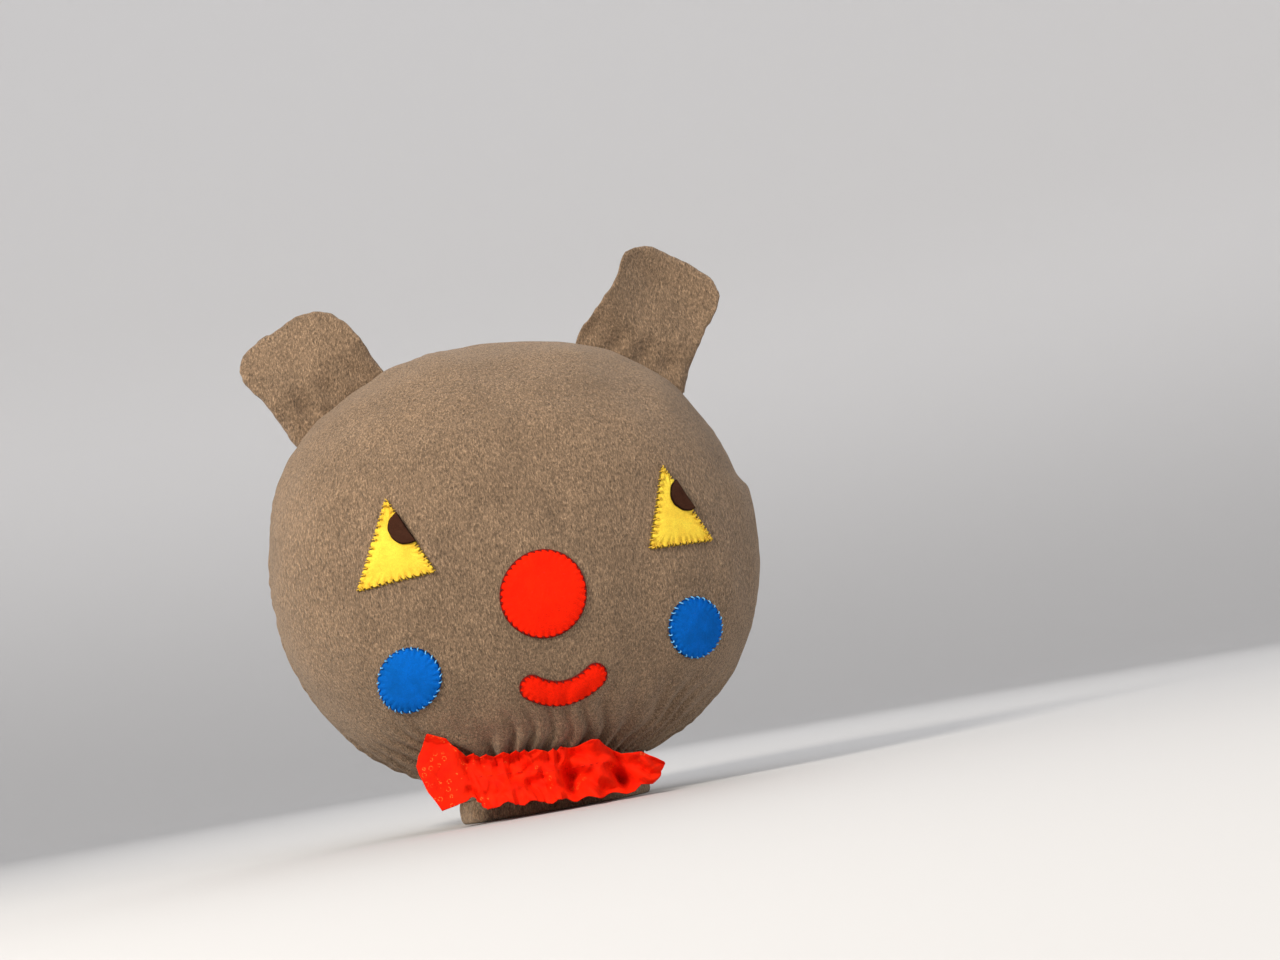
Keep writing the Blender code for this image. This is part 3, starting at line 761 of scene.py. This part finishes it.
def sewn(name, surface, outline, felt_colour, thread, radius=0.00032, skip=None, scallop=0.0005,
         thick=FELT_THICK, length=0.0009, edging_and_shade=0.0):
    """A felt shape and the stitches that hold it; skip says where no stitch goes."""
    edge, bones = anticlockwise(*outline)
    places = stitch_places(edge, STITCH_PITCH, skip)
    piece = felt_shape(name + "_felt", surface, edge, bones, places, thick=thick, scallop=scallop)
    finish_piece(piece, felt(name + "_wool", felt_colour), name)
    sewing = stitches(name + "_stitches", surface, edge, places, radius, thick, length, edging_and_shade)
    finish_piece(sewing, cotton_thread(name + "_thread", *thread), name + "_stitching")


def make_eye(side, surface):
    corners = EYES[side]
    top, low = np.array(corners[0]), np.array(corners[2])
    along = (low - top) / np.linalg.norm(low - top)
    middle = top + (low - top) * PUPIL_AT
    sewn(side + "_eye", surface, polygon(corners), YELLOW, (YELLOW_THREAD, 0.4), scallop=0.0011,
         thick=EYE_FELT_THICK, length=0.002,
         skip=lambda place: np.linalg.norm(place - middle) < PUPIL_RADIUS)
    name = side + "_pupil"
    pupil = felt_shape(name + "_felt", surface, *half_disc(middle, along, PUPIL_RADIUS), [],
                       base=EYE_FELT_THICK + 0.0001, thick=PUPIL_THICK)
    finish_piece(pupil, felt(name + "_wool", PUPIL_BROWN), name)


def make_face(surface):
    for side in EYES:
        make_eye(side, surface)
    for side, centre in CHEEKS.items():
        outline = circle(centre, CHEEK_RADIUS)
        sewn(side + "_cheek", surface, outline, BLUE, (BLUE_THREAD, 0.22), radius=0.00036)
    for name, outline in (("nose", circle(NOSE, NOSE_RADIUS)), ("mouth", smile())):
        # nose and mouth: dark red stitches, and a loop round the edge that is partly thread and partly
        # painted shade
        sewn(name, surface, outline, RED, (DARK_RED_THREAD_AND_EDGE_SHADE, 0.7), scallop=0.0003, edging_and_shade=0.0004)


# ---- ears ----
EAR_SHRINK, EAR_VOXEL, EAR_FULLNESS = 0.001, 0.0024, 2.8
# places on an ear are given across and up from the middle of its root
EAR_MIDDLE = {"left": (0.002, 0.018), "right": (-0.001, 0.028)}
EAR_OUTLINE = {
    "left": [(0.030, -0.015), (0.0374, -0.006), (0.038, 0.008), (0.0384, 0.023), (0.0366, 0.0362),
             (0.0296, 0.048), (0.015, 0.0544), (-0.0015, 0.0562), (-0.0152, 0.0556), (-0.0262, 0.0516),
             (-0.0322, 0.042), (-0.0322, 0.029), (-0.0314, 0.015), (-0.032, 0.002), (-0.0322, -0.009),
             (-0.027, -0.020), (0.002, -0.020)],
    "right": [(0.027, -0.020), (0.0318, -0.007), (0.0308, 0.007), (0.0304, 0.0215), (0.0318, 0.0355),
              (0.0334, 0.048), (0.0316, 0.0595), (0.0235, 0.0675), (0.0062, 0.0718), (-0.014, 0.072),
              (-0.0262, 0.0678), (-0.0338, 0.060), (-0.0355, 0.052), (-0.0348, 0.043), (-0.0358, 0.034),
              (-0.039, 0.022), (-0.0425, 0.007), (-0.043, -0.004), (-0.034, -0.014),
              (-0.002, -0.020)]}


def ear_frame(sign):
    """The middle of the ear's root, and the directions up and across it."""
    angle = radians(90 - sign * EAR_ANGLE)
    reach = float(rim_radius(angle)) + 0.003
    root = Vector((reach * cos(angle), 0, reach * sin(angle) + CENTRE_Z))
    up = Vector((sign * sin(radians(EAR_TILT)), 0, cos(radians(EAR_TILT))))
    return root, up, Vector((up.z, 0, -up.x))


def ear_reach(side, angle, shrink=0.0):
    """Distance from the ear's middle to its outline in each direction, along a curve through the points."""
    outline = np.array(EAR_OUTLINE[side]) - EAR_MIDDLE[side]
    t = np.linspace(0, len(outline), len(outline) * 12, endpoint=False)
    k = t.astype(int)
    f = (t - k)[:, None]
    a, b, c, d = [outline[(k + j) % len(outline)] for j in (-1, 0, 1, 2)]
    line = b + 0.5 * f * (c - a + f * (2 * a - 5 * b + 4 * c - d + f * (3 * (b - c) + d - a)))
    turn = np.arctan2(line[:, 1], line[:, 0])
    order = np.argsort(turn)
    return np.interp(angle, turn[order], np.hypot(*line[order].T), period=2 * pi) - shrink


def ear_lean(side, u, v):
    """How far the ear curls forwards (less than 0) or back at a place on it."""
    share = v / 0.065
    across = np.clip(u / 0.034, -1.2, 1.2)
    rise = smoothstep(-0.1, 0.6, share)
    if side == "right":
        hollow = 0.012 * (1 - np.abs(across) ** 2.4) * rise * (0.55 + 0.45 * share)
        return hollow - 0.0065 * rise - 0.005 * smoothstep(0.75, 1.1, share) + 0.003 * across * rise
    hollow = 0.005 * (1 - across ** 2) * rise
    return hollow + 0.005 * smoothstep(0.3, 1.0, share) - 0.0025 - 0.003 * across * rise


def detail_ear(obj, side, sign):
    """Puckered seam round the edge, and soft lumps of the wadding."""
    p, n = points_of(obj), normals_of(obj)
    right, high = p[:, 0] - EAR_MIDDLE[side][0], p[:, 2] - EAR_MIDDLE[side][1]
    angle = np.arctan2(high, right)
    rim = smoothstep(0.72, 0.99, np.hypot(right, high) / ear_reach(side, angle))
    pucker = np.sin(2 * pi * (angle * 4.0 + 0.35 * lumps(p, 0.03, 31 + sign)))
    rise = -0.0009 * bell(p[:, 1], 0.0, 0.0012) * rim + 0.00016 * pucker * rim
    rise += 0.0005 * lumps(p, 0.026, 33 + sign)
    set_points(obj, p + n * rise[:, None])


def make_ear(side, sign):
    """A padded ear that curls, with tucks where it is sewn to the head."""
    name = side + "_ear"
    root, up, across = ear_frame(sign)
    obj = pillow(name + "_fleece", lambda angle: ear_reach(side, angle, EAR_SHRINK), EAR_FULLNESS,
                 EAR_THICK - EAR_SHRINK / 2, EAR_MIDDLE[side], rings=32)
    modified(obj, "REMESH", mode="VOXEL", voxel_size=EAR_VOXEL, use_smooth_shade=True)
    seam = np.abs(points_of(obj)[:, 1]) < 0.0015
    inflate(obj, seam, frames=16, pressure=3.0, cap=0.002)
    modified(obj, "SMOOTH", factor=0.5, iterations=5)
    modified(obj, "SUBSURF", levels=1, render_levels=1)
    detail_ear(obj, side, sign)
    u, y, v = points_of(obj).T
    tuck = 0.0012 * bell(v, 0.005, 0.007) * np.sin(2 * pi * u / 0.017 + 1.0 + sign)
    y = y + ear_lean(side, u, v) + tuck + 0.0035 * smoothstep(0.020, 0.002, v)
    set_points(obj, np.outer(u, across) + np.outer(v, up) + np.outer(y, (0, 1, 0)) + np.array(root))
    nodes = [name + "_front", name + "_back", name + "_wadding"]
    finish_piece(obj, fleece(name + "_pile", seed=5.0 + sign), nodes[0], nodes,
                 blend=("head", name, tuple(root - up * 0.012), tuple(root + up * 0.016)))


# ---- neck ----
# the hem's cross-section: past the neck's oval, and up
HEM_OUTSIDE = [(-0.0042, 0.0018), (-0.0036, 0.0007), (-0.0027, 0.0001), (-0.0018, 0.0), (-0.001, 0.0006),
               (-0.0005, 0.002), (-0.0003, 0.0045), (-0.0004, 0.008), (-0.001, 0.0108), (-0.0021, 0.0128),
               (-0.001, 0.0148), (-0.0003, 0.018), (-0.0001, 0.024), (-0.0004, 0.0335)]
HEM_INSIDE = [(-0.0044, 0.0335), (-0.0045, 0.026), (-0.0045, 0.018), (-0.0044, 0.010), (-0.0045, 0.004)]
THREAD_HEIGHT = 0.0128


def on_neck(turn, past, z):
    return (NECK_WIDE + past) * cos(turn), (NECK_DEEP + past) * sin(turn), z


def pleats(turn):
    return sin(23 * turn + 1.6 * sin(4 * turn))


def hem_section(turn):
    """The cross-section at a turn round the neck, pleated above its foot."""
    pleat = 0.0011 * pleats(turn) + 0.0005 * sin(47 * turn + 2.0 * sin(3 * turn))
    drop = 0.0006 * (1 + sin(5 * turn + 0.7)) * 0.5
    rows = []
    for past, z in HEM_OUTSIDE:
        share = min(max((z - 0.0005) / 0.008, 0), 1)
        rows.append((past + (pleat - 0.0013) * share, z + drop * (1 - share) * (z > 0)))
    return rows + HEM_INSIDE


def make_hem(around=144):
    """The folded cuff of fleece round the opening."""
    turns = [2 * pi * k / around for k in range(around)]
    verts = [on_neck(turn, past, z) for turn in turns for past, z in hem_section(turn)]
    ring = grid(around + 1, len(verts) // around, flip=True)
    faces = [[corner % len(verts) for corner in face] for face in ring]
    cuff = mesh_object("neck_hem", verts, faces)
    finish_piece(cuff, fleece("hem_pile", seed=9.0), "neck_cuff")


def make_neck_thread(steps=180):
    """The thread that draws the neck in, in the hollow round the hem."""
    turns = [2 * pi * k / steps for k in range(steps + 1)]
    path = [on_neck(turn, -0.0026 + 0.0006 * pleats(turn), THREAD_HEIGHT + 0.0004 * sin(9 * turn))
            for turn in turns]
    cord = tubes("neck_drawing_thread", [path], 0.0006)
    finish_piece(cord, cotton_thread("neck_thread", NECK_THREAD, 0.5), "neck_gathering_thread")


# ---- hand pocket ----
POCKET_SHAPE = [(0.0489, 0.002), (0.0486, 0.020), (0.0478, 0.034), (0.044, 0.050), (0.039, 0.075),
                (0.035, 0.100), (0.027, 0.118), (0.013, 0.1275), (0.0, 0.130)]  # half width and height
POCKET_FLATNESS = 0.70


def make_pocket(rows=41, around=96):
    """Lining of the hand's room: a creased, tapering tube closed at the top."""
    radii, heights = np.array(POCKET_SHAPE).T
    run = np.r_[0, np.cumsum(np.hypot(np.diff(radii), np.diff(heights)))]
    at = np.linspace(0, run[-1], rows + 1)
    verts = []
    for radius, z in zip(np.interp(at, run, radii)[:-1] - 0.0008, np.interp(at, run, heights)[:-1]):
        for a in [2 * pi * k / around for k in range(around)]:
            crease = 0.0009 * (sin(9 * a + 90 * z) + sin(17 * a + 1.3)) * min(1, (z - 0.001) / 0.03)
            reach = radius - abs(crease)
            verts.append((reach * cos(a), reach * POCKET_FLATNESS * sin(a), z))
    faces = grid(rows, around, flip=True)
    top, last = len(verts), (rows - 1) * around
    verts.append((0, 0, heights[-1] - 0.001))
    faces += [(last + k, top, last + (k + 1) % around) for k in range(around)]
    obj = mesh_object("pocket_cloth", verts, faces)
    modified(obj, "SOLIDIFY", thickness=0.0009, offset=0.0)
    finish_piece(obj, woven_lining("pocket_weave"), "hand_pocket")


# ---- ruffle ----
RUFFLE_Y, RUFFLE_BEND = -0.0605, 2.0  # the strip stands at RUFFLE_Y + RUFFLE_BEND * x * x
RUFFLE_JOIN = -0.0015
RUFFLE_THICK = 0.00045
PLEAT_SPACING = 0.0066
# the strip's top and foot: across and up
RUFFLE_TOP = [(-0.079, 0.042), (-0.0765, 0.0455), (-0.0699, 0.0513), (-0.0605, 0.0471), (-0.0572, 0.0423),
              (-0.052, 0.0374), (-0.040, 0.0345), (-0.0245, 0.0342), (-0.0065, 0.0318), (0.0094, 0.0325),
              (0.019, 0.033), (0.025, 0.029), (0.0308, 0.0235), (0.040, 0.0232), (0.054, 0.015)]
RUFFLE_FOOT = [(-0.079, 0.036), (-0.0775, 0.023), (-0.0735, 0.015), (-0.068, 0.0105), (-0.060, 0.012),
               (-0.053, 0.0145), (-0.051, 0.0142), (-0.0466, 0.008), (-0.040, 0.0086), (-0.036, 0.0085),
               (-0.0202, 0.0068), (0.0019, 0.0042), (0.0215, 0.0036), (0.034, 0.0032), (0.038, 0.0062),
               (0.0437, 0.0054), (0.050, 0.0092), (0.054, 0.011)]
# the strip's two ends, from the foot to the top: share of the height, and across
FAN_END = [(0, -0.068), (0.2, -0.0742), (0.4, -0.0768), (0.6, -0.0776), (0.8, -0.0758), (1, -0.0705)]
TAIL_END = [(0, 0.049), (0.5, 0.0522), (0.85, 0.0534), (1, 0.0524)]
# hollows pressed between the folds: place along, share of the height, half width, half height, depth
DIMPLES = [(0.0022, 0.36, 0.0058, 0.26, 0.0165), (0.019, 0.08, 0.0085, 0.18, 0.010),
           (0.030, 0.36, 0.0052, 0.28, 0.0155), (0.012, 0.45, 0.007, 0.13, 0.007),
           (-0.0045, 0.72, 0.0028, 0.12, 0.0044), (0.0085, 0.82, 0.004, 0.10, 0.0036),
           (-0.0275, 0.55, 0.0046, 0.15, 0.0085), (-0.0205, 0.36, 0.0034, 0.13, 0.007),
           (-0.020, 0.68, 0.003, 0.10, 0.006), (-0.013, 0.52, 0.0036, 0.12, 0.0065),
           (-0.010, 0.28, 0.003, 0.10, 0.0034), (-0.050, 0.14, 0.0044, 0.18, 0.0042),
           (-0.039, 0.18, 0.0034, 0.12, 0.003), (-0.0345, 0.80, 0.0026, 0.12, 0.0028)]


def along_line(places, at):
    """Height of a line through the places."""
    return np.interp(at, *np.array(places).T)


def ruffle_points(run, t, side):
    """Gathered strip: crumpled in the middle, broad slanting folds to the right, a flat fan at the left.

    run goes along the sheet and t up it, both from 0 to 1.
    """
    edge = along_line(FAN_END if side == "left" else TAIL_END, t)
    if side == "left":
        x = edge + (RUFFLE_JOIN - edge) * run
    else:
        x = RUFFLE_JOIN + (edge - RUFFLE_JOIN) * run
    flat = np.c_[x, np.zeros(len(x)), t * 0.022]
    low, high = along_line(RUFFLE_FOOT, x), along_line(RUFFLE_TOP, x)

    # how far each kind of fold reaches along the strip
    fan = smoothstep(-0.051, -0.059, x)
    right = smoothstep(-0.004, 0.004, x)
    tail = smoothstep(0.026, 0.036, x)
    broad = right * (1 - tail)
    middle = (1 - fan) * (1 - right)
    loose = smoothstep(-0.028, -0.040, x)
    top_edge = smoothstep(0.55, 1.0, t)
    foot_edge = smoothstep(0.40, 0, t)

    phase = x / PLEAT_SPACING + 0.30 * lumps(flat, 0.020, 41) + 0.25 * (t - 0.5)
    pleat = np.cos(2 * pi * phase)
    hem = top_edge + 0.7 * foot_edge
    ridge = 1 - 2 * np.abs(lumps(flat, 0.0155, 47))
    fine_ridge = 1 - 2 * np.abs(lumps(flat, 0.0085, 48))
    slant = np.cos(2 * pi * ((0.62 * x + 0.78 * t * 0.028) / 0.0118 + 0.14 * lumps(flat, 0.03, 43) + 0.35))
    swell = np.cos(2 * pi * (x - 0.0165) / 0.033)
    crinkle = lumps(flat, 0.006, 45) * 0.0003
    depth = middle * (0.0014 * pleat * hem + (0.002 - 0.0012 * loose) * ridge)
    depth += middle * (0.0005 * fine_ridge + crinkle)
    depth += fan * (0.0013 * np.cos(2 * pi * (x / 0.024 + 0.2 * t)) + 0.4 * crinkle)
    depth += broad * (0.0026 * slant + 0.004 * swell * (0.6 + 0.7 * t) + 0.0012 * ridge + crinkle)
    depth += right * tail * (0.0022 * slant * smoothstep(0.053, 0.041, x)
                             + 0.002 * np.cos(2 * pi * (x - 0.043) / 0.026) + crinkle)
    for at, up, wide, tall, deep in DIMPLES:
        depth -= deep * bell(x, at, wide) * bell(t, up, tall)

    scallop = middle * 0.0009 * pleat + broad * 0.001 * slant
    wave = (middle + 0.6 * broad) * 0.0011 * np.sin(2 * pi * x / 0.0145 + 0.9)
    z = low + (high - low) * t + scallop * smoothstep(0.7, 1, t)
    z -= (0.4 * scallop + wave) * smoothstep(0.3, 0, t)
    slide = middle * 0.0006 * np.sin(4 * pi * phase) * hem * smoothstep(0, 0.004, np.abs(x - RUFFLE_JOIN))

    # the strip leans back to the chin and rolls forward at its edges, clear of the fleece
    roll = (0.0024 * middle + 0.004 * broad) * smoothstep(0.28, 0, t)
    roll += 0.002 * (middle + right) * smoothstep(0.80, 1.0, t)
    skin = face_depth(x, z - CENTRE_Z) - 0.0016
    hung = RUFFLE_Y + RUFFLE_BEND * x * x
    hung += np.clip(skin - 0.002 - hung, -0.010, 0.008) * smoothstep(0.30, 1.0, t) * (1 - fan) * (1 - tail)
    return np.c_[x - slide, np.minimum(hung - depth - roll, skin), z]


def make_ruffle_sheet(side, columns, nodes, rows=60):
    """Half of the strip, made in place and given its thickness."""
    run, t = np.meshgrid(np.linspace(0, 1, columns), np.linspace(0, 1, rows))
    points = ruffle_points(run.ravel(), t.ravel(), side)
    obj = mesh_object("ruffle_" + side, points, grid(rows, columns, closed=False))
    modified(obj, "SOLIDIFY", thickness=RUFFLE_THICK, offset=0.0)
    fold, sign = FOLDS[side], SIDES[side]
    y = RUFFLE_Y + RUFFLE_BEND * fold * fold
    start, end = (fold - sign * 0.006, y, 0.02), (fold + sign * 0.006, y, 0.02)
    finish_piece(obj, ruffle_cloth("ruffle_%s_cotton" % side), nodes[0], nodes,
                 blend=("head", "ruffle_" + side, start, end))


def make_ruffle_thread(points=60):
    """The running thread that gathers the strip, in and out of its folds."""
    run = np.linspace(0.40, 0.985, points)
    height = np.full(points, 0.60)
    line = np.vstack([ruffle_points(run, height, "left"), ruffle_points(run - 0.40, height, "right")])
    line[:, 1] += np.where(np.arange(len(line)) % 7 < 4, -0.0005, 0.0007)
    sewing = tubes("ruffle_running_thread", [line], 0.00028)
    finish_piece(sewing, cotton_thread("ruffle_thread", RUFFLE_THREAD, 0.85), "ruffle_gathering_thread")


# ---- floor, light, camera ----
IMAGE_WIDE, IMAGE_TALL = 1280, 960
LENS, SENSOR = 50, 36
AZIMUTH, ELEVATION, ROLL, DISTANCE = -8.54, -6.0, 9.3, 1.015
HEAD_ACROSS, HEAD_DOWN = 0.40422, 0.58458  # the head's middle in the picture, as shares of its sides
HEAD_MIDDLE = (0, 0, CENTRE_Z)


def pale_paper():
    """Matt paper that is a little lighter the higher it goes: the floor is painted darker, painted shade
    against the stronger light that falls on it.
    """
    mat = bpy.data.materials.new("pale_paper")
    mat.use_nodes = True
    tree = mat.node_tree
    shader = tree.nodes["Principled BSDF"]
    shader.inputs["Roughness"].default_value = 0.9
    place = tree.nodes.new("ShaderNodeTexCoord")
    split = tree.nodes.new("ShaderNodeSeparateXYZ")
    ramp = tree.nodes.new("ShaderNodeValToRGB")
    # painted shade: darker on the floor, lighter up the wall
    ramp.color_ramp.interpolation = "EASE"
    ramp.color_ramp.elements[0].color = (0.52, 0.513, 0.507, 1)
    ramp.color_ramp.elements[1].color = (0.80, 0.79, 0.782, 1)
    tree.links.new(place.outputs["Object"], split.inputs[0])
    tree.links.new(split.outputs["Z"], ramp.inputs[0])
    tree.links.new(ramp.outputs[0], shader.inputs["Base Color"])
    return mat


def make_stage(flat=2.2, bend=1.2, top=2.6, around=96):
    """Pale floor that sweeps up into a round wall, so that no edge shows."""
    profile = [(0.02 * flat, 0.0), (0.5 * flat, 0.0)]
    profile += [(flat + bend * sin(a), bend * (1 - cos(a))) for a in np.linspace(0, pi / 2, 21)]
    profile.append((flat + bend, top))
    turns = [2 * pi * k / around for k in range(around)]
    verts = [(r * cos(a), r * sin(a), z - 0.0002) for r, z in profile for a in turns]
    middle = tuple(range(around))[::-1]
    bowl = mesh_object("studio_bowl", verts, [*grid(len(profile), around), middle])
    bowl.data.materials.append(pale_paper())


def area_light(name, place, size, power, colour=(1, 1, 1), aim=HEAD_MIDDLE):
    lamp = bpy.data.lights.new(name, "AREA")
    lamp.shape = "DISK"
    lamp.size = size
    lamp.energy = power
    lamp.color = colour
    obj = bpy.data.objects.new(name, lamp)
    bpy.context.scene.collection.objects.link(obj)
    obj.location = place
    obj.rotation_euler = (Vector(aim) - Vector(place)).to_track_quat("-Z", "Y").to_euler()


def make_lights():
    area_light("key", (-1.05, -1.0, 1.05), 0.50, 31, (1.0, 0.94, 0.85))
    area_light("fill", (1.3, -1.1, 0.5), 1.2, 5, (0.93, 0.96, 1.0))
    area_light("back", (0.5, 1.2, 1.3), 1.0, 7, aim=(0, 0, 0.15))
    world = bpy.data.worlds.new("studio")
    world.use_nodes = True
    background = world.node_tree.nodes["Background"]
    background.inputs["Color"].default_value = (0.95, 0.96, 1.0, 1)
    background.inputs["Strength"].default_value = 0.85
    bpy.context.scene.world = world


def make_camera():
    """Camera as in the photo: left of the face, a little below it and rolled, with the head off centre."""
    data = bpy.data.cameras.new("camera")
    data.lens = LENS
    data.sensor_width = SENSOR
    obj = bpy.data.objects.new("camera", data)
    bpy.context.scene.collection.objects.link(obj)
    a, e, r = radians(AZIMUTH), radians(ELEVATION), radians(ROLL)
    back = Vector((sin(a) * cos(e), -cos(a) * cos(e), sin(e)))
    right = (-back).cross(Vector((0, 0, 1))).normalized()
    up = right.cross(-back)
    right, up = cos(r) * right - sin(r) * up, sin(r) * right + cos(r) * up
    look = Matrix((right, up, back)).transposed()
    seen = Vector(((HEAD_ACROSS - 0.5) * SENSOR / LENS,
                   (0.5 - HEAD_DOWN) * SENSOR / LENS * IMAGE_TALL / IMAGE_WIDE, -1)).normalized()
    turn = Vector((0, 0, -1)).rotation_difference(seen).to_matrix()
    place = Matrix.Translation(Vector(HEAD_MIDDLE) + back * DISTANCE)
    obj.matrix_world = place @ (look @ turn.transposed()).to_4x4()
    bpy.context.scene.camera = obj
    # plain display of colour, so that the felt keeps its full strength
    bpy.context.scene.view_settings.view_transform = "Standard"


face_cover = make_head()
make_face(Surface(face_cover))
for ear_side, ear_sign in SIDES.items():
    make_ear(ear_side, ear_sign)
make_hem()
make_neck_thread()
make_pocket()
make_ruffle_sheet("left", 300, ["ruffle_left_end", "ruffle_middle"])
make_ruffle_sheet("right", 220, ["ruffle_right_end"])
make_ruffle_thread()
make_stage()
make_lights()
make_camera()

bpy.context.view_layer.update()
